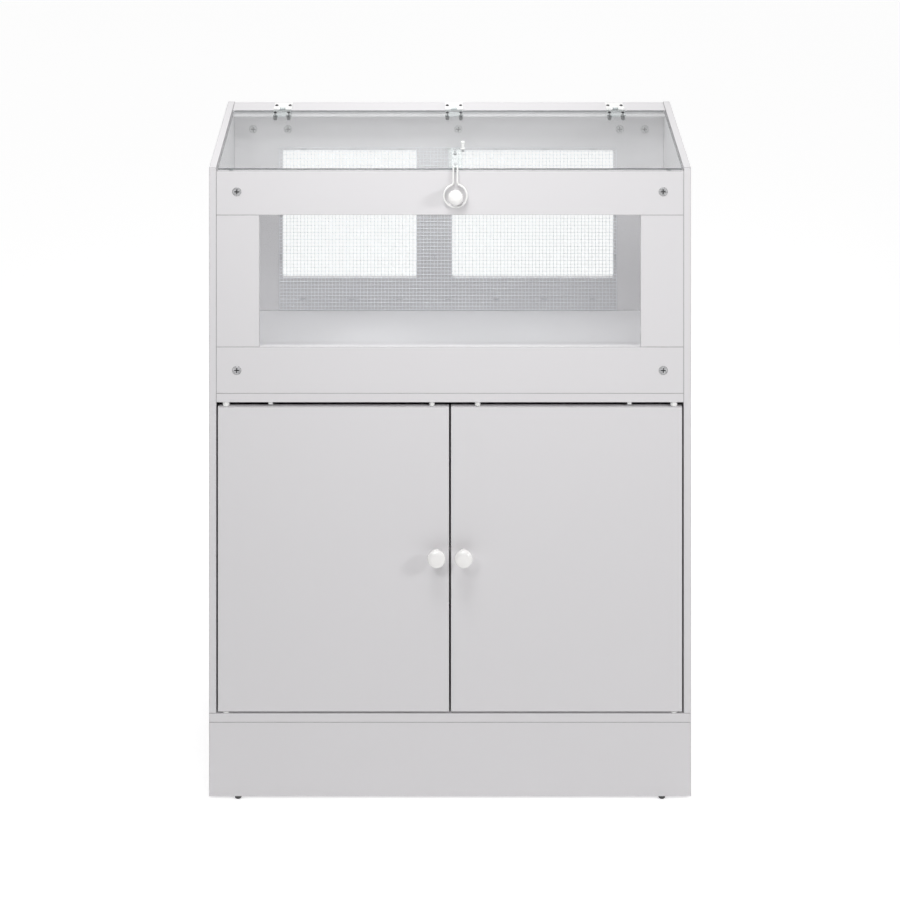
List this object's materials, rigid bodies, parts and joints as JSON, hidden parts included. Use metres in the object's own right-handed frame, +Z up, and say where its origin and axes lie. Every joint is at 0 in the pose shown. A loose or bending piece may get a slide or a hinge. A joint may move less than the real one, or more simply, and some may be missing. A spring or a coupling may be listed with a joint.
{
  "type": "hamster cage",
  "caption": "Free-standing small-pet cage on a two-door cabinet: white boards, clear front pane and hinged clear lid with hasp, wire-mesh rear windows, inset doors with round knobs, plinth.",
  "frame": {"origin": "on the floor under the middle of the carcass's plan, on the face of the middle glide", "axes": "+Z up, front with the doors towards -Y, width along X"},
  "size_m": [0.8, 0.4295, 1.0605],
  "materials": {
    "white_board": "satin white melamine foil on particle board",
    "clear_acrylic": "clear polished acrylic",
    "white_plastic": "moulded white plastic",
    "clear_plastic": "clear flexible plastic",
    "white_lacquer": "turned wood in white gloss lacquer",
    "zinc": "die-cast zinc",
    "steel": "bright zinc-plated steel",
    "dark_steel": "black oxide steel",
    "galvanised_wire": "galvanised welded wire",
    "beech": "fluted beech dowel",
    "magnet": "sintered ferrite",
    "grey_plastic": "hard dark plastic"
  },
  "bodies": {
    "carcass": {"plinth_front": "white_board", "plinth_back": "white_board", "plinth_left": "white_board", "plinth_right": "white_board", "plinth_brace": "white_board", "base_board": "white_board", "left_side_panel": "white_board", "right_side_panel": "white_board", "cage_floor": "white_board", "cabinet_back": "white_board", "storage_shelf": "white_board", "front_bottom_rail": "white_board", "front_top_rail": "white_board", "left_stile": "white_board", "right_stile": "white_board", "cage_back": "white_board", "rear_top_strip": "white_board", "front_pane": "clear_acrylic", "lid_bumpers": "clear_plastic", "hinge_strip_leaves": "white_plastic", "door_pivot_bushes": "white_plastic", "magnetic_catches": "white_plastic", "door_stops": "white_plastic", "lid_knob": "white_lacquer", "cam_nuts_front": "zinc", "cam_nuts_rear": "zinc", "cam_nuts_inside": "zinc", "cam_bolts": "steel", "shelf_pins": "steel", "mesh_staples": "steel", "pane_screws": "steel", "hinge_pins": "steel", "lid_knob_screw": "steel", "hinge_strip_screws": "dark_steel", "rear_mesh": "galvanised_wire", "dowels": "beech", "catch_magnets": "magnet", "foot_glides": "grey_plastic"},
    "lid": {"lid_panel": "clear_acrylic", "hasp_plate": "clear_plastic", "hinge_lid_leaves": "clear_plastic", "lift_peg": "white_plastic", "hinge_lid_screws": "dark_steel", "lid_nuts": "dark_steel", "hasp_screws": "steel", "lift_peg_screw": "steel"},
    "hasp": {"hasp_loop": "white_plastic"},
    "left_door_leaf": {"left_door": "white_board", "left_door_knob": "white_lacquer", "left_door_pivot_pins": "steel", "left_knob_screw": "steel", "left_strike_plate": "steel", "left_strike_screw": "steel"},
    "right_door_leaf": {"right_door": "white_board", "right_door_knob": "white_lacquer", "right_door_pivot_pins": "steel", "right_knob_screw": "steel", "right_strike_plate": "steel", "right_strike_screw": "steel"}
  },
  "joints": [
    {"name": "left_door_hinge", "type": "hinge", "parent": "carcass", "child": "left_door_leaf", "pos_m": [-0.372, -0.194, 0.4], "axis": [0, 0, -1], "range_deg": [0, 110]},
    {"name": "right_door_hinge", "type": "hinge", "parent": "carcass", "child": "right_door_leaf", "pos_m": [0.372, -0.194, 0.4], "axis": [0, 0, 1], "range_deg": [0, 110]},
    {"name": "lid_hinge", "type": "hinge", "parent": "carcass", "child": "lid", "pos_m": [0.009, 0.146, 1.0505], "axis": [-1, 0, 0], "range_deg": [0, 105]},
    {"name": "hasp_loop_hinge", "type": "hinge", "parent": "lid", "child": "hasp", "pos_m": [0.009, -0.2033, 1.0512], "axis": [-1, 0, 0], "range_deg": [0, 262]}
  ]
}
